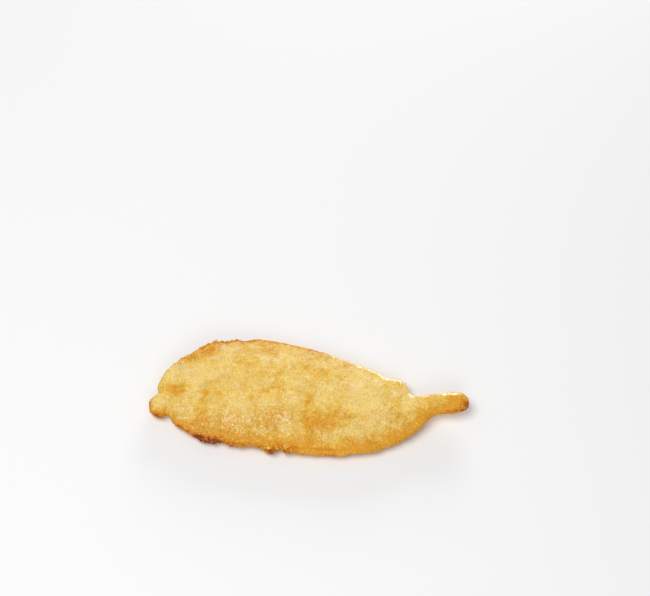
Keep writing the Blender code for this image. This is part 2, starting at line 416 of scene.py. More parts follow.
def pebbles(points, pitch, seed):
    """Rounded cells with creases between them, from 0 to 1 at each point."""
    shifted = points / pitch + np.array([seed, -seed, 0.5 * seed])
    nearest = np.array([noise.voronoi(p)[0][:2] for p in shifted.tolist()])
    return np.sqrt(np.clip((nearest[:, 1] - nearest[:, 0]) * 1.6, 0.0, 1.0))


def underneath(normals):
    """1 where the surface faces the floor, and 0 where it doesn't."""
    return smooth_step(-normals[:, 2], 0.1, 0.6)


def read_points(mesh):
    points = np.empty(len(mesh.vertices) * 3, np.float32)
    mesh.vertices.foreach_get("co", points)
    return points.reshape(-1, 3).astype(float)


def read_normals(mesh):
    normals = np.empty(len(mesh.vertices) * 3, np.float32)
    mesh.vertices.foreach_get("normal", normals)
    return normals.reshape(-1, 3).astype(float)


def write_points(mesh, points):
    mesh.vertices.foreach_set("co", points.astype(np.float32).ravel())
    mesh.update()


def neighbours(mesh):
    """The two ends of each edge."""
    ends = np.empty(len(mesh.edges) * 2, np.int32)
    mesh.edges.foreach_get("vertices", ends)
    return ends.reshape(-1, 2)


def eased(values, edges, rounds):
    """Each value drawn halfway to the mean of its neighbours, round after round."""
    first, second = edges[:, 0], edges[:, 1]
    count = np.bincount(first, minlength=len(values)) + np.bincount(second, minlength=len(values))
    columns = values.reshape(len(values), -1).copy()
    for _ in range(rounds):
        for k in range(columns.shape[1]):
            column = columns[:, k]
            total = np.bincount(first, weights=column[second], minlength=len(values))
            total += np.bincount(second, weights=column[first], minlength=len(values))
            columns[:, k] = (column + total / count) / 2
    return columns.reshape(values.shape)


def point_tree(points, indices):
    """A search tree of the points that have these indices."""
    tree = kdtree.KDTree(len(indices))
    for index in indices:
        tree.insert(points[index], int(index))
    tree.balance()
    return tree


def remeshed(node, face_side):
    """A new mesh of even small faces over the CAD node's surface."""
    mesh = node.data.copy()
    mesh.materials.clear()
    shell = bmesh.new()
    shell.from_mesh(mesh)
    bmesh.ops.remove_doubles(shell, verts=shell.verts, dist=0.001 * MM)
    shell.to_mesh(mesh)
    shell.free()
    draft = bpy.data.objects.new("crust_draft", mesh)
    bpy.context.scene.collection.objects.link(draft)
    modifier = draft.modifiers.new("even_faces", "REMESH")
    modifier.mode = "VOXEL"
    modifier.voxel_size = face_side
    graph = bpy.context.evaluated_depsgraph_get()
    result = bpy.data.meshes.new_from_object(draft.evaluated_get(graph))
    bpy.data.objects.remove(draft)
    if len(result.polygons) < FEWEST_FACES:
        raise RuntimeError("the crust's mesh came out too coarse")
    return result


def distance_to_rim(points, normals):
    """How far each point is from the nearest place where the surface stands upright."""
    tree = point_tree(points, np.flatnonzero(np.abs(normals[:, 2]) < UPRIGHT))
    return np.array([tree.find(p)[2] for p in points.tolist()])


def blister_heights(points, settings):
    """Domes of trapped steam, some of them burst into a shallow dimple."""
    draw = random.Random(BLISTER_SEED)
    tree = point_tree(points, range(len(points)))
    heights = np.zeros(len(points))
    for _ in range(settings.blisters):
        centre = points[draw.randrange(len(points))]
        radius = settings.blister_radius * (0.3 + 0.7 * draw.random() ** 2)
        rise = radius * draw.uniform(0.12, 0.27)
        burst = draw.random() < BURST_SHARE
        for _, index, away in tree.find_range(centre, radius):
            u = away / radius
            dome = (1 - u * u) ** 1.5
            dimple = max(0.0, 1 - (u / 0.55) ** 2) if burst else 0.0
            heights[index] = max(heights[index], rise * (dome - 0.9 * dimple))
    return heights


def bubble_texture(points, pitch):
    """Fine bubbles with a finer grain on them, around 0."""
    return pebbles(points, pitch, seed=3.0) - 0.6 + 0.35 * cloud(points, 0.75 * MM, seed=21.0)


def soft_lumps(points):
    """Lumps of three sizes, from the broadest to the narrowest."""
    broad = cloud(points, 9.0 * MM, seed=15.0)
    middling = cloud(points, 4.2 * MM, seed=5.0)
    narrow = cloud(points, 2.3 * MM, seed=9.0)
    return broad + middling + 0.5 * narrow


def crag_heights(points, craggy):
    """Shards and chips of broken crust, as a share of the crags' full height."""
    shards = 1 - np.abs(cloud(points, 1.9 * MM, seed=31.0)) * 2.2
    shards = np.clip(shards, 0.0, 1.0) ** 1.5
    chips = np.clip(cloud(points, 1.05 * MM, seed=37.0) * 1.6, 0.0, 1.0)
    return craggy * (0.75 * shards + 0.6 * chips - 0.25)


def wet_edge(points, normals, inset):
    """Where a thin pale bead of batter runs along the far rim, towards the tail. Its pale colour is partly
    thin batter and partly a painted highlight of the glint along that rim.
    """
    uneven = 0.6 * MM * cloud(points, 2.4 * MM, seed=61.0)
    widening = 1.2 * MM * stretch(points, SHOULDER_STRETCH)
    bead = smooth_step(inset, 0.6 * MM, 1.5 * MM)
    bead *= fade(inset + uneven - widening, 2.5 * MM, 3.5 * MM)
    bead *= smooth_step(normals[:, 1], 0.05, 0.35) * smooth_step(normals[:, 2], -0.1, 0.3)
    bead *= stretch(points, WET_STRETCH)
    bead *= 0.8 + 0.4 * cloud(points, 1.5 * MM, seed=67.0)
    return np.clip(bead, 0.0, 1.0)


def rim_feature(along_rim, feature):
    """How deep or high a notch or a swell of the rim is, at each place along it."""
    middle, half_width, size = feature
    return size * MM * hump(along_rim, middle * MM, half_width * MM)


def nub_relief(points, inset):
    """The bead of batter at the head end, with a notch where it meets each flap."""
    x, y = points[:, 0], points[:, 1]
    away = np.hypot(x - NUB_MIDDLE[0] * MM, y - NUB_MIDDLE[1] * MM) / (NUB_RADIUS * MM)
    bead = NUB_HEIGHT * MM * np.clip(1 - away**2, 0.0, 1.0)
    near_notch = rim_feature(x, NEAR_NOTCH) * (y < -5 * MM)
    far_notch = rim_feature(y, FAR_NOTCH) * (x < -51 * MM)
    far_flap = rim_feature(y, FAR_FLAP) * (x < -49 * MM)
    far_edge = (far_flap - far_notch) * fade(inset, 0.5 * MM, 3.0 * MM)
    return bead - near_notch * fade(inset, 0.5 * MM, 4.0 * MM) + far_edge


def roll_stretch(points):
    """1 along the near rim where a thin roll of batter shows below the face's edge."""
    return stretch(points, ROLL_STRETCH) * (points[:, 1] < -12 * MM)


def near_roll(points, normals, inset):
    """The roll of batter below the near rim, and the groove above it, each from 0 to about 1."""
    beside = roll_stretch(points)
    onto_face = np.where(normals[:, 2] > 0, inset, 0.0)
    roll = hump(onto_face, 0.0, 0.9 * MM) * (0.8 + 0.4 * cloud(points, 1.8 * MM, seed=43.0))
    groove = hump(onto_face, 1.7 * MM, 0.55 * MM)
    return beside * roll, beside * groove


class Crust(NamedTuple):
    """What the colours are worked out from, at each point of the crust.

    The points and normals are those of the smooth form under the relief, and inset is how far
    each point is from the rim. The rest goes from about 0 to about 1: how near the rim is, how
    craggy the place is, the crags there, how high the relief stands, the wet bead, and the groove
    above the near roll.
    """

    points: np.ndarray
    normals: np.ndarray
    inset: np.ndarray
    rim: np.ndarray
    craggy: np.ndarray
    crags: np.ndarray
    height: np.ndarray
    wet: np.ndarray
    groove: np.ndarray


def shape_crust(mesh, settings):
    """Raises the batter's relief on the mesh and returns what its colours need."""
    edges = neighbours(mesh)
    points = eased(read_points(mesh), edges, settings.easing)
    write_points(mesh, points)
    normals = eased(read_normals(mesh), edges, NORMAL_ROUNDS)
    normals /= np.linalg.norm(normals, axis=1)[:, None]
    inset = distance_to_rim(points, normals)
    rim = fade(inset, 0.3 * MM, 3.2 * MM)
    crag_reach = 5.0 * MM + 4.5 * MM * smooth_step(points[:, 1], 5 * MM, 15 * MM)
    craggy = places(points, CRAGGY) * fade(inset, 1.5 * MM, crag_reach)

    texture = bubble_texture(points, settings.pebble_pitch)
    blisters = blister_heights(points, settings)
    crags = crag_heights(points, craggy)
    relief = settings.swell * soft_lumps(points)
    relief += settings.pebble * (1 + 0.9 * craggy + 0.3 * rim) * texture
    relief += blisters * (1 - 0.5 * rim)
    relief += settings.crag * crags

    wet = eased(wet_edge(points, normals, inset), edges, WET_MASK_ROUNDS)
    base = points + (eased(points, edges, WET_FORM_ROUNDS) - points) * wet[:, None]
    relief *= 1 - 0.7 * wet
    relief += nub_relief(points, inset)
    roll, groove = near_roll(points, normals, inset)
    relief += settings.lip * (roll - groove)

    raised = base + normals * relief[:, None]
    raised[:, 2] = np.maximum(raised[:, 2], 0.0)
    write_points(mesh, raised)
    # How high the relief stands, which the colour turns into painted highlight on its tops and painted
    # shade in its hollows.
    height = 0.5 + 0.77 * texture + 0.5 * (crags + blisters / settings.crag)
    return Crust(points, normals, inset, rim, craggy, crags, height, wet, groove)


def toast_and_shade_of(crust, settings, wander, speckle):
    """How toasted the crust is, with painted shade on the near rim and in the groove above the near roll: 0
    is not at all, and 1 is brown.
    """
    y = crust.points[:, 1]
    near_side = smooth_step(-crust.normals[:, 1], 0.15, 0.75) * (y < 0)
    far_side = smooth_step(y, 2 * MM, 10 * MM)
    toast_reach = 4.2 * MM + 3.3 * MM * smooth_step(y, 5 * MM, 15 * MM)
    toast_reach += 12 * MM * smooth_step(crust.points[:, 0], 50 * MM, 54 * MM)
    toasted = places(crust.points, TOASTED_AND_SHADED) * fade(crust.inset, 0.5 * MM, toast_reach)
    torn = crust.craggy * (0.26 - 0.75 * np.clip(crust.crags, -0.4, 0.8)) * (1 - 0.6 * far_side)
    toast = toasted + torn * (1 - 0.85 * toasted)
    # The rim's near side is darkened more, partly as browning and partly as painted shade.
    toast += crust.rim * (settings.rim_toast + settings.near_toast_and_shade * near_side) * (1 + wander)
    far_line = hump(crust.inset, 2.1 * MM, 1.2 * MM) * smooth_step(crust.normals[:, 1], 0.1, 0.4)
    far_line *= stretch(crust.points, BROWN_LINE_STRETCH)
    toast += settings.far_line * far_line * (1 + wander)
    # The groove above the near roll is darkened: painted shade in the groove.
    return toast * (1 + settings.unevenness * speckle) + 0.24 * crust.groove


def drifted(points):
    """The points moved about by noise, so that patches of colour get ragged edges."""
    moved = points.copy()
    for axis, broad_seed, fine_seed in ((0, 71.0, 73.0), (1, 79.0, 83.0)):
        moved[:, axis] += 2.4 * MM * cloud(points, 2.6 * MM, broad_seed)
        moved[:, axis] += 1.2 * MM * cloud(points, 1.1 * MM, fine_seed)
    return moved


def gold_of(crust, settings, wander, speckle):
    """How golden the crust is beside the plain face: below 0 is paler, and 1 is a deep gold."""
    points, inset = crust.points, crust.inset
    x, y = points[:, 0], points[:, 1]
    patches = drifted(points)
    band_width = 8.0 * MM - 2.8 * MM * smooth_step(-x, 36 * MM, 44 * MM)
    band = fade(inset, 1.0 * MM, band_width + 2.5 * MM * wander)
    near_band = band * smooth_step(-y, 2 * MM, 12 * MM)
    far_band = band * smooth_step(y, 12 * MM, 20 * MM)
    golden = places(patches, GOLDEN) * (1 + 0.5 * wander)
    golden += (settings.near_gold + 0.5 * speckle) * near_band + 0.25 * far_band
    golden += crust.craggy * (0.25 - 1.8 * np.clip(crust.crags, -0.2, 0.8))
    flaky = places(points, CRAGGY) * fade(inset, 3 * MM, 8 * MM)
    golden += 0.7 * flaky * cloud(points, 1.5 * MM, seed=47.0)
    golden -= settings.paleness * places(patches, PALE) * (1 - 0.7 * near_band)
    golden -= 0.85 * roll_stretch(points) * fade(inset, 1.0 * MM, 1.8 * MM)
    return golden + 0.35 * underneath(crust.normals) * (1 + wander)


def tone_of(crust, settings):
    """How toasted the crust is, with its painted shade, how golden it is at each point, how high it stands,
    and its wetness.

    Wetness is 0.5 where the crust is dry, 1 where it is oily and grainy, and 0 on the pale bead.
    """
    points, normals = crust.points, crust.normals
    wander = cloud(points, 3.4 * MM, seed=51.0)
    speckle = cloud(points, 1.1 * MM, seed=57.0)
    oily = 0.5 * places(points, OILY) * (normals[:, 2] > 0) + 0.1 * underneath(normals)
    golden = gold_of(crust, settings, wander, speckle)
    tone = np.empty((len(points), 4))
    tone[:, 0] = toast_and_shade_of(crust, settings, wander, speckle)
    tone[:, 1] = settings.plain_gold + settings.gold_range * golden
    tone[:, 2] = crust.height
    tone[:, 3] = 0.5 + oily * (1 - crust.wet) - 0.5 * crust.wet
    return np.clip(tone, 0.0, 1.0)


def write_tone(mesh, tone):
    attribute = mesh.color_attributes.new(TONE, "FLOAT_COLOR", "POINT")
    attribute.data.foreach_set("color", tone.astype(np.float32).ravel())


# The kinds of socket that the shader groups have
COLOUR = "NodeSocketColor"
VALUE = "NodeSocketFloat"

BATTER_COLOURS = ("Milk", "Cream", "Gold", "Amber", "Toast", "Brown")
BATTER_VALUES = ("Toasted", "Golden", "Height", "Wet", "Speckling")

# The size of the batter's grains, from the broadest to the finest
BROAD = 6.5 * MM
MIDDLE = 2.1 * MM
FINE = 0.8 * MM
FINEST = 0.32 * MM

# Tints that the batter's colour is multiplied by
BLUSH = (0.94, 0.90, 0.99, 1.0)
WARM = (0.97, 0.91, 0.74, 1.0)
COOL = (1.02, 1.05, 1.22, 1.0)

# Each kind of fried dot: its pitch, the share of places that have one, its colour and strength
DOTS = (
    (3.1 * MM, 0.30, "Brown", 0.42),
    (1.9 * MM, 0.25, "Toast", 0.5),
    (2.6 * MM, 0.35, "Amber", 0.8),
)
# Each step of browning: how toasted the batter is where it starts and ends, and its colour
BROWNING = (
    (0.05, 0.35, "Amber"),
    (0.34, 0.78, "Toast"),
    (0.72, 1.05, "Brown"),
)


class NodeSketch:
    """Adds shader nodes to a tree from left to right."""

    def __init__(self, tree):
        self.tree = tree
        self.column = 0

    def add(self, kind, **settings):
        node = self.tree.nodes.new(kind)
        self.column += 1
        node.location = (self.column * 190, -(self.column % 4) * 170)
        for name, value in settings.items():
            setattr(node, name, value)
        return node

    def feed(self, socket, value):
        """Links a socket into this one, or sets a plain value on it."""
        if isinstance(value, bpy.types.NodeSocket):
            self.tree.links.new(value, socket)
        else:
            socket.default_value = value

    def maths(self, operation, *values):
        node = self.add("ShaderNodeMath", operation=operation)
        for socket, value in zip(node.inputs, values):
            self.feed(socket, value)
        return node.outputs[0]

    def blend(self, amount, first, second, mode="MIX"):
        node = self.add("ShaderNodeMix", data_type="RGBA", blend_type=mode)
        self.feed(node.inputs[0], amount)
        self.feed(node.inputs[6], first)
        self.feed(node.inputs[7], second)
        return node.outputs[2]

    def spread(self, value, low, high, to_low=0.0, to_high=1.0):
        """The value's range from low to high, laid over another range and kept within it."""
        node = self.add("ShaderNodeMapRange")
        for name, setting in (
            ("Value", value),
            ("From Min", low),
            ("From Max", high),
            ("To Min", to_low),
            ("To Max", to_high),
        ):
            self.feed(node.inputs[name], setting)
        return node.outputs[0]

    def swayed(self, value, grain, reach):
        """The value with the grain added to it, which moves it up or down by the reach at most."""
        return self.maths("ADD", value, self.spread(grain, 0.3, 0.7, -reach, reach))

    def grain(self, place, pitch, detail=2.0, twist=0.0):
        """Smooth noise from 0 to 1."""
        node = self.add("ShaderNodeTexNoise")
        self.feed(node.inputs["Vector"], place)
        node.inputs["Scale"].default_value = 1 / pitch
        node.inputs["Detail"].default_value = detail
        node.inputs["Distortion"].default_value = twist
        return node.outputs["Fac"]

    def cells(self, place, pitch):
        """The distance to the nearest cell's middle, in pitches, and that cell's lot from 0 to 1."""
        node = self.add("ShaderNodeTexVoronoi")
        self.feed(node.inputs["Vector"], place)
        node.inputs["Scale"].default_value = 1 / pitch
        lot = self.add("ShaderNodeSeparateColor")
        self.feed(lot.inputs[0], node.outputs["Color"])
        return node.outputs["Distance"], lot.outputs[0]

    def wandered(self, place, pitch, reach):
        """The place, moved about by smooth noise so that cells lose their even shapes."""
        node = self.add("ShaderNodeTexNoise")
        self.feed(node.inputs["Vector"], place)
        node.inputs["Scale"].default_value = 1 / pitch
        node.inputs["Detail"].default_value = 0.0
        moved = self.add("ShaderNodeVectorMath", operation="MULTIPLY_ADD")
        self.feed(moved.inputs[0], node.outputs["Color"])
        moved.inputs[1].default_value = (reach, reach, reach)
        self.feed(moved.inputs[2], place)
        return moved.outputs[0]


def new_group(name, inputs, outputs):
    group = bpy.data.node_groups.new(name, "ShaderNodeTree")
    for direction, sockets in (("INPUT", inputs), ("OUTPUT", outputs)):
        for label, kind in sockets:
            group.interface.new_socket(name=label, in_out=direction, socket_type=kind)
    return group


def node_group(name, build):
    """The shader node group of this name, built the first time that it is asked for."""
    return bpy.data.node_groups.get(name) or build(name)


def specks_group(name):
    """A mask of small ragged dots: pitch is their distance, and share is how many places have one."""
    group = new_group(name, [("Pitch", VALUE), ("Share", VALUE)], [("Mask", VALUE)])
    sketch = NodeSketch(group)
    entry = sketch.add("NodeGroupInput").outputs
    place = sketch.add("ShaderNodeTexCoord").outputs["Object"]
    node = sketch.add("ShaderNodeTexVoronoi")
    sketch.feed(node.inputs["Vector"], place)
    sketch.feed(node.inputs["Scale"], sketch.maths("DIVIDE", 1.0, entry["Pitch"]))
    lots = sketch.add("ShaderNodeSeparateColor")
    sketch.feed(lots.inputs[0], node.outputs["Color"])
    chosen = sketch.maths("LESS_THAN", lots.outputs[0], entry["Share"])
    size = sketch.spread(lots.outputs[1], 0.0, 1.0, 0.05, 0.13)
    edge = sketch.spread(sketch.grain(place, 0.35 * MM), 0.2, 0.8, 0.5, 1.4)
    dot = sketch.maths("LESS_THAN", node.outputs["Distance"], sketch.maths("MULTIPLY", size, edge))
    leave = sketch.add("NodeGroupOutput").inputs
    sketch.feed(leave["Mask"], sketch.maths("MULTIPLY", chosen, dot))
    return group


class BatterSketch(NodeSketch):
    """The nodes of fried batter: its grains and bubbles, and what its colour and gloss make of them."""

    def __init__(self, tree):
        super().__init__(tree)
        self.entry = self.add("NodeGroupInput").outputs
        self.place = self.add("ShaderNodeTexCoord").outputs["Object"]
        self.middle = self.grain(self.place, MIDDLE, 3.0, 0.4)
        self.fine = self.grain(self.place, FINE, 3.0)
        self.finest = self.grain(self.place, FINEST, 2.0)
        self.bubble, self.lot = self.cells(self.wandered(self.place, 1.1 * MM, 0.7 * MM), 0.95 * MM)
        self.dome = self.spread(self.bubble, 0.05, 0.60, 1.0, 0.0)
        self.bead = self.spread(self.entry["Wet"], 0.34, 0.10)
        self.grainy = self.spread(self.entry["Wet"], 0.6, 0.95)

    def gold_depth(self):
        """How golden the batter is, with its grains, paler on the relief's tops as painted highlight and
        deeper in its hollows as painted shade: 0 is cream, 0.5 is gold and 1 is amber.
        """
        depth = self.swayed(self.entry["Golden"], self.grain(self.place, BROAD, 3.0, 0.6), 0.20)
        depth = self.swayed(depth, self.middle, 0.22)
        depth = self.swayed(depth, self.fine, 0.20)
        # Raised relief is made paler and its hollows a deeper gold: painted highlight and painted shade.
        return self.maths("ADD", depth, self.spread(self.entry["Height"], 0.2, 0.8, 0.10, -0.08))

    def milkiness(self, depth):
        """Where the batter is thin and see-through, in spots, and where the tops of bubbles get painted
        highlights.
        """
        paleness = self.spread(depth, 0.30, 0.80, 1.0, 0.10)
        spots = self.spread(self.grain(self.place, 3.7 * MM, 2.0, 0.5), 0.52, 0.72, 0.0, 0.50)
        # The bubble tops are paled towards Milk: painted highlights.
        tops = self.maths("MULTIPLY", self.maths("POWER", self.dome, 1.6), self.spread(self.lot, 0.45, 1.0))
        tops = self.maths("MULTIPLY", tops, self.spread(self.grainy, 0.0, 1.0, 0.8, 1.3))
        on_tops = self.maths("MAXIMUM", paleness, self.maths("MULTIPLY", self.grainy, 0.55))
        spots = self.maths("MULTIPLY", spots, paleness)
        return self.maths("MAXIMUM", spots, self.maths("MULTIPLY", tops, on_tops))

    def blush(self):
        """Where the batter is a little rosier, which is most of all on the far side."""
        axes = self.add("ShaderNodeSeparateXYZ")
        self.feed(axes.inputs[0], self.place)
        far_side = self.spread(axes.outputs[1], 4 * MM, 16 * MM, -0.04, 0.13)
        blush = self.maths("ADD", self.grain(self.place, 4.4 * MM, 2.0, 0.5), far_side)
        return self.spread(blush, 0.50, 0.68)

    def face_colour(self):
        """The untoasted batter, from cream over gold to amber, with painted highlights on the bubble tops
        and painted shade between the bubbles.
        """
        depth = self.gold_depth()
        colour = self.blend(self.spread(depth, 0.0, 0.5), self.entry["Cream"], self.entry["Gold"])
        colour = self.blend(self.spread(depth, 0.5, 0.95), colour, self.entry["Amber"])
        colour = self.blend(self.milkiness(depth), colour, self.entry["Milk"])
        # The hollows between the bubbles are blended towards Amber: painted shade.
        gaps = self.maths("MULTIPLY", self.spread(self.bubble, 0.38, 0.70), self.grainy)
        colour = self.blend(self.maths("MULTIPLY", gaps, 0.75), colour, self.entry["Amber"])
        return self.blend(self.blush(), colour, BLUSH, "MULTIPLY")

    def browned(self, colour):
        """The colour, browned as far as the batter is toasted, which also lays on the painted shade of the
        near rim and of the groove above the near roll.
        """
        toasted = self.entry["Toasted"]
        burn_and_shade = self.swayed(toasted, self.middle, 0.12)
        burn_and_shade = self.swayed(burn_and_shade, self.fine, 0.15)
        burn_and_shade = self.maths("MULTIPLY", burn_and_shade, self.spread(toasted, 0.02, 0.15))
        for start, end, tint in BROWNING:
            colour = self.blend(self.spread(burn_and_shade, start, end), colour, self.entry[tint])
        return colour

    def speckled(self, colour):
        """The colour with its fried dots."""
        specks = node_group("fried_specks", specks_group)
        for pitch, share, tint, strength in DOTS:
            dots = self.add("ShaderNodeGroup", node_tree=specks)
            dots.inputs["Pitch"].default_value = pitch
            dots.inputs["Share"].default_value = share
            amount = self.maths("MULTIPLY", dots.outputs["Mask"], self.entry["Speckling"])
            amount = self.maths("MULTIPLY", amount, strength)
            colour = self.blend(amount, colour, self.entry[tint])
        return colour

    def mottled(self, colour):
        """The colour with grains that are warmer or cooler, and lighter or darker; the lighter grains are
        partly painted glints, strongest where the batter is oily.
        """
        tint = self.spread(self.grain(self.place, 0.7 * MM, 3.0), 0.32, 0.68)
        colour = self.blend(1.0, colour, self.blend(tint, WARM, COOL), "MULTIPLY")
        darkest = self.spread(self.grainy, 0.0, 1.0, 0.87, 0.81)
        lightest = self.spread(self.grainy, 0.0, 1.0, 1.09, 1.14)
        # The lightest grains stand partly for glints: painted glints, strongest on the oily batter.
        grain = self.grain(self.place, 0.42 * MM, 1.0)
        lightness = self.spread(grain, 0.32, 0.68, darkest, lightest)
        return self.blend(1.0, colour, lightness, "MULTIPLY")

    def roughness(self):
        return self.swayed(self.spread(self.middle, 0.3, 0.7, 0.46, 0.64), self.finest, 0.08)

    def oil(self):
        """How oily the surface is: in small patches, and all over the bead."""
        patches = self.spread(self.grain(self.place, 1.3 * MM, 2.0), 0.46, 0.60, 0.05, 1.0)
        oil = self.maths("MULTIPLY", patches, self.spread(self.entry["Wet"], 0.5, 1.0, 0.08, 1.0))
        return self.maths("MAXIMUM", oil, self.bead)

    def grain_height(self):
        """The height of the finest grain, for the bump."""
        height = self.maths("ADD", self.maths("MULTIPLY", self.dome, 1.7), self.finest)
        height = self.maths("ADD", height, self.fine)
        height = self.maths("MULTIPLY", height, self.spread(self.entry["Wet"], 0.5, 1.0, 0.7, 1.6))
        return self.maths("MULTIPLY", height, self.spread(self.bead, 0.0, 1.0, 1.0, 0.15))


def batter_group(name):
    """Colour, gloss and fine grain of fried batter, from how toasted and golden it is."""
    inputs = [(label, COLOUR) for label in BATTER_COLOURS]
    inputs += [(label, VALUE) for label in BATTER_VALUES]
    outputs = [("Colour", COLOUR), ("Roughness", VALUE), ("Oil", VALUE), ("Grain", VALUE)]
    group = new_group(name, inputs, outputs)
    sketch = BatterSketch(group)
    colour = sketch.mottled(sketch.speckled(sketch.browned(sketch.face_colour())))
    # The far rim's bead is blended towards Milk: partly thin pale batter, partly a painted highlight of the
    # glint along the rim.
    colour = sketch.blend(sketch.maths("MULTIPLY", sketch.bead, 0.62), colour, sketch.entry["Milk"])
    roughness, oil, grain = sketch.roughness(), sketch.oil(), sketch.grain_height()
    leave = sketch.add("NodeGroupOutput").inputs
    sketch.feed(leave["Colour"], colour)
    sketch.feed(leave["Roughness"], roughness)
    sketch.feed(leave["Oil"], oil)
    sketch.feed(leave["Grain"], grain)
    return group


def batter_material(name, colours, settings):
    """Fried batter, with the speckling and the fine grain that the settings give."""
    material = bpy.data.materials.new(name)
    material.use_nodes = True
    tree = material.node_tree
    sketch = NodeSketch(tree)
    shader = tree.nodes["Principled BSDF"]
    group = sketch.add("ShaderNodeGroup", node_tree=node_group("fried_batter_tone", batter_group))
    tone = sketch.add("ShaderNodeVertexColor", layer_name=TONE)
    parts = sketch.add("ShaderNodeSeparateColor")
    sketch.feed(parts.inputs[0], tone.outputs["Color"])
    for label in BATTER_COLOURS:
        group.inputs[label].default_value = (*getattr(colours, label.lower()), 1.0)
    sketch.feed(group.inputs["Toasted"], parts.outputs[0])
    sketch.feed(group.inputs["Golden"], parts.outputs[1])
    sketch.feed(group.inputs["Height"], parts.outputs[2])
    sketch.feed(group.inputs["Wet"], tone.outputs["Alpha"])
    group.inputs["Speckling"].default_value = settings.speckling
    sketch.feed(shader.inputs["Base Color"], group.outputs["Colour"])
    sketch.feed(shader.inputs["Roughness"], group.outputs["Roughness"])
    sketch.feed(shader.inputs["Coat Weight"], group.outputs["Oil"])
    bump = sketch.add("ShaderNodeBump")
    bump.inputs["Strength"].default_value = 0.7
    bump.inputs["Distance"].default_value = settings.fine_grain
    sketch.feed(bump.inputs["Height"], group.outputs["Grain"])
    sketch.feed(shader.inputs["Normal"], bump.outputs["Normal"])
    shader.inputs["Specular IOR Level"].default_value = 0.22
    shader.inputs["Coat Roughness"].default_value = 0.12
    shader.inputs["Subsurface Weight"].default_value = 0.16
    shader.inputs["Subsurface Radius"].default_value = (1.0, 0.42, 0.12)
    shader.inputs["Subsurface Scale"].default_value = 0.9 * MM
    return material


def finish_piece(name, mesh, material):
    """Links a mesh as a smooth piece that moves with the fillet."""
    mesh.name = name
    mesh.materials.clear()
    mesh.materials.append(material)
    mesh.shade_smooth()
    piece = bpy.data.objects.new(name, mesh)
    bpy.context.scene.collection.objects.link(piece)
    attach(piece, BODY)
    return piece


class ANCHOVY_OT_fry_crust(bpy.types.Operator):
    """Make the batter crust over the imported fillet"""

    bl_idname = "anchovy.fry_crust"
    bl_label = "Fry the crust"

    def execute(self, context):
        settings = context.scene.anchovy_crust
        mesh = remeshed(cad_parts[NODE], settings.face_side)
        crust = shape_crust(mesh, settings)
        write_tone(mesh, tone_of(crust, context.scene.anchovy_frying))
        material = batter_material("fried_batter_crust", context.scene.anchovy_colours, settings)
        piece = finish_piece(CRUST_PIECE, mesh, material)
        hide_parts(NODE)
        return {"FINISHED"}


# How golden, how high and how wet a crumb is, on the scales of the crust's tone
CRUMB_TONE = (0.6, 0.6, 0.75)


def crumb_chances(points, normals):
    """The running total of each point's chance of a crumb, which is best on the craggy rim."""
    inset = distance_to_rim(points, normals)
    chance = places(points, CRAGGY) * (inset < 2.6 * MM) * (points[:, 2] > 0.8 * MM)
    chance += 0.003 * (normals[:, 2] > 0.6)
    return np.cumsum(chance / chance.sum())


def crumb_shape(draw, length):
    """One crumb as a pinched and dented ball: its points and faces."""
    ball = bmesh.new()
    bmesh.ops.create_icosphere(ball, subdivisions=2, radius=0.5)
    seed = draw.uniform(0, 100)
    squash = Vector((1.0, draw.uniform(0.55, 0.9), draw.uniform(0.35, 0.65)))
    for vertex in ball.verts:
        dent = noise.noise(vertex.co * 2.6 + Vector((seed, 0, 0)))
        dent += 0.4 * noise.noise(vertex.co * 6.0 + Vector((0, seed, 0)))
        vertex.co = vertex.co * (1 + 0.55 * dent) * squash * length
    points = [vertex.co.copy() for vertex in ball.verts]
    faces = [[vertex.index for vertex in face.verts] for face in ball.faces]
    ball.free()
    return points, faces


def laid_crumb(draw, at, up, length):
    """The points and faces of one crumb, turned at random and pressed a little into the crust."""
    points, faces = crumb_shape(draw, length)
    turn = up.to_track_quat("Z", "Y").to_matrix().to_4x4()
    spin = Matrix.Rotation(draw.uniform(0, 2 * math.pi), 4, "Z")
    place = Matrix.Translation(at - up * 0.12 * length) @ turn @ spin
    return [place @ point for point in points], faces


class ANCHOVY_OT_scatter_crumbs(bpy.types.Operator):
    """Stick crumbs of batter to the craggy parts of the crust"""

    bl_idname = "anchovy.scatter_crumbs"
    bl_label = "Scatter the crumbs"

    def execute(self, context):
        settings = context.scene.anchovy_crumbs
        crust = bpy.data.objects.get(CRUST_PIECE)
        if crust is None:
            raise RuntimeError("the crumbs need the crust first")
        points = read_points(crust.data)
        normals = read_normals(crust.data)
        craggy = places(points, CRAGGY)
        chances = crumb_chances(points, normals)
        length_range = settings.largest - settings.smallest
        draw = random.Random(CRUMB_SEED)
        all_points, all_faces, tones = [], [], []
        for _ in range(settings.count):
            index = min(int(np.searchsorted(chances, draw.random())), len(points) - 1)
            length = settings.smallest + length_range * draw.random() ** 2.5
            crumb, faces = laid_crumb(draw, Vector(points[index]), Vector(normals[index]), length)
            start = len(all_points)
            all_points += [point[:] for point in crumb]
            all_faces += [[start + i for i in face] for face in faces]
            toast = min(1.0, draw.uniform(0.05, 0.60) * (craggy[index] + 0.2))
            tones += [(toast, *CRUMB_TONE)] * len(crumb)
        mesh = bpy.data.meshes.new(CRUMB_PIECE)
        mesh.from_pydata(all_points, [], all_faces)
        write_tone(mesh, np.array(tones))
        material = batter_material("fried_batter_crumb", context.scene.anchovy_colours, settings)
        finish_piece(CRUMB_PIECE, mesh, material)
        return {"FINISHED"}


# The floor lies this far below the piece, so that their faces don't meet
FLOOR_DROP = 0.05 * MM
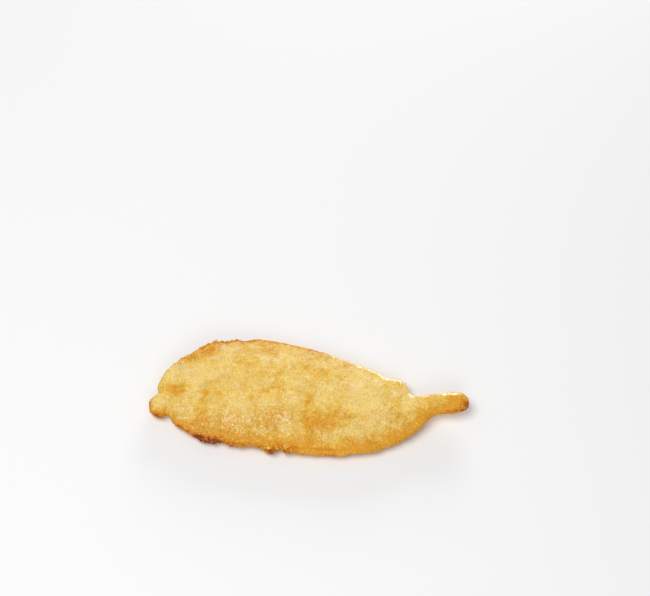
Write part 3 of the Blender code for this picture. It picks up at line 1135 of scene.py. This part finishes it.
# Each softbox: its name, the setting with its watts, its size, where it stands and where it aims
SOFTBOXES = (
    ("key_softbox", "key_power", (0.55, 0.45), (-0.24, -0.12, 0.75), (0.0, 0.0, 0.0)),
    ("rim_softbox", "rim_power", (0.40, 0.16), (0.15, 0.70, 0.17), (0.02, 0.01, 0.0)),
    ("front_fill", "fill_power", (0.60, 0.40), (0.12, -0.80, 0.55), (0.0, 0.0, 0.0)),
)
# The picture is 650 by 596 dots, and the piece is 317 of them long with its middle at this dot
PICTURE = (650, 596)
PIECE_DOTS = 317
PIECE_MIDDLE = (308.7, 400.8)


def lay_floor(settings):
    """A plain square floor that isn't part of the object."""
    side = settings.floor_side / 2
    mesh = bpy.data.meshes.new("floor")
    corners = [(-side, -side, 0), (side, -side, 0), (side, side, 0), (-side, side, 0)]
    mesh.from_pydata(corners, [], [(0, 1, 2, 3)])
    material = bpy.data.materials.new("pale_floor")
    material.use_nodes = True
    shader = material.node_tree.nodes["Principled BSDF"]
    shader.inputs["Base Color"].default_value = (*settings.floor, 1.0)
    shader.inputs["Roughness"].default_value = 0.6
    shader.inputs["Specular IOR Level"].default_value = 0.2
    mesh.materials.append(material)
    floor = bpy.data.objects.new("floor", mesh)
    floor.location = (0, 0, -FLOOR_DROP)
    bpy.context.scene.collection.objects.link(floor)


def softbox(name, watts, size, place, target):
    """A soft rectangular light that stands at a place and aims at a target."""
    light = bpy.data.lights.new(name, "AREA")
    light.shape = "RECTANGLE"
    light.size, light.size_y = size
    light.energy = watts
    lamp = bpy.data.objects.new(name, light)
    lamp.location = place
    lamp.rotation_euler = (Vector(target) - Vector(place)).to_track_quat("-Z", "Y").to_euler()
    bpy.context.scene.collection.objects.link(lamp)


def light_room(scene, settings):
    """An even white light all round, and colours shown as they are."""
    world = bpy.data.worlds.new("studio")
    world.use_nodes = True
    background = world.node_tree.nodes["Background"]
    background.inputs["Color"].default_value = (1.0, 1.0, 1.0, 1.0)
    background.inputs["Strength"].default_value = settings.room_light
    scene.world = world
    scene.view_settings.view_transform = "Standard"


def place_camera(scene, settings):
    """A camera that shows the piece as large, and in the same part of the picture, as in the photo."""
    dot = LENGTH / PIECE_DOTS
    camera = bpy.data.cameras.new("camera")
    camera.lens = settings.lens
    camera.sensor_width = 36.0
    camera.sensor_fit = "HORIZONTAL"
    camera.clip_start = 0.01
    distance = PICTURE[0] * dot * camera.lens / camera.sensor_width
    right_of_axis = (PIECE_MIDDLE[0] - PICTURE[0] / 2) * dot
    above_axis = (PICTURE[1] / 2 - PIECE_MIDDLE[1]) * dot
    tilt = settings.elevation + math.atan2(above_axis, distance)
    forward = Vector((0, math.cos(tilt), -math.sin(tilt)))
    up = Vector((0, math.sin(tilt), math.cos(tilt)))
    holder = bpy.data.objects.new("camera", camera)
    holder.location = -forward * distance - up * above_axis - Vector((right_of_axis, 0, 0))
    holder.rotation_euler = (math.pi / 2 - tilt, 0, 0)
    scene.collection.objects.link(holder)
    scene.camera = holder


class ANCHOVY_OT_set_stage(bpy.types.Operator):
    """Lay the pale floor and set the lights and the camera"""

    bl_idname = "anchovy.set_stage"
    bl_label = "Set the stage"

    def execute(self, context):
        settings = context.scene.anchovy_stage
        lay_floor(settings)
        for name, power, size, place, target in SOFTBOXES:
            softbox(name, getattr(settings, power), size, place, target)
        light_room(context.scene, settings)
        place_camera(context.scene, settings)
        return {"FINISHED"}


class ANCHOVY_PT_panel(bpy.types.Panel):
    """Lists what makes the tempura anchovy"""

    bl_idname = "ANCHOVY_PT_panel"
    bl_label = "Tempura Anchovy"
    bl_space_type = "VIEW_3D"
    bl_region_type = "UI"
    bl_category = "Anchovy"

    def draw(self, context):
        for title, settings, operator in (
            ("Crust", context.scene.anchovy_crust, ANCHOVY_OT_fry_crust),
            ("Colours", context.scene.anchovy_colours, None),
            ("Frying", context.scene.anchovy_frying, None),
            ("Crumbs", context.scene.anchovy_crumbs, ANCHOVY_OT_scatter_crumbs),
            ("Stage", context.scene.anchovy_stage, ANCHOVY_OT_set_stage),
        ):
            box = self.layout.box()
            box.label(text=title)
            for name in settings.__annotations__:
                box.prop(settings, name)
            if operator:
                box.operator(operator.bl_idname)


CLASSES = (
    CrustSettings,
    BatterColours,
    FryingSettings,
    CrumbSettings,
    StageSettings,
    ANCHOVY_OT_fry_crust,
    ANCHOVY_OT_scatter_crumbs,
    ANCHOVY_OT_set_stage,
    ANCHOVY_PT_panel,
)
SCENE_SETTINGS = {
    "anchovy_crust": CrustSettings,
    "anchovy_colours": BatterColours,
    "anchovy_frying": FryingSettings,
    "anchovy_crumbs": CrumbSettings,
    "anchovy_stage": StageSettings,
}


def register():
    for cls in CLASSES:
        bpy.utils.register_class(cls)
    for name, settings in SCENE_SETTINGS.items():
        setattr(bpy.types.Scene, name, PointerProperty(type=settings))


def unregister():
    for name in SCENE_SETTINGS:
        delattr(bpy.types.Scene, name)
    for cls in reversed(CLASSES):
        bpy.utils.unregister_class(cls)


def main():
    register()
    bpy.ops.anchovy.fry_crust()
    bpy.ops.anchovy.scatter_crumbs()
    bpy.ops.anchovy.set_stage()


if __name__ == "__main__":
    main()
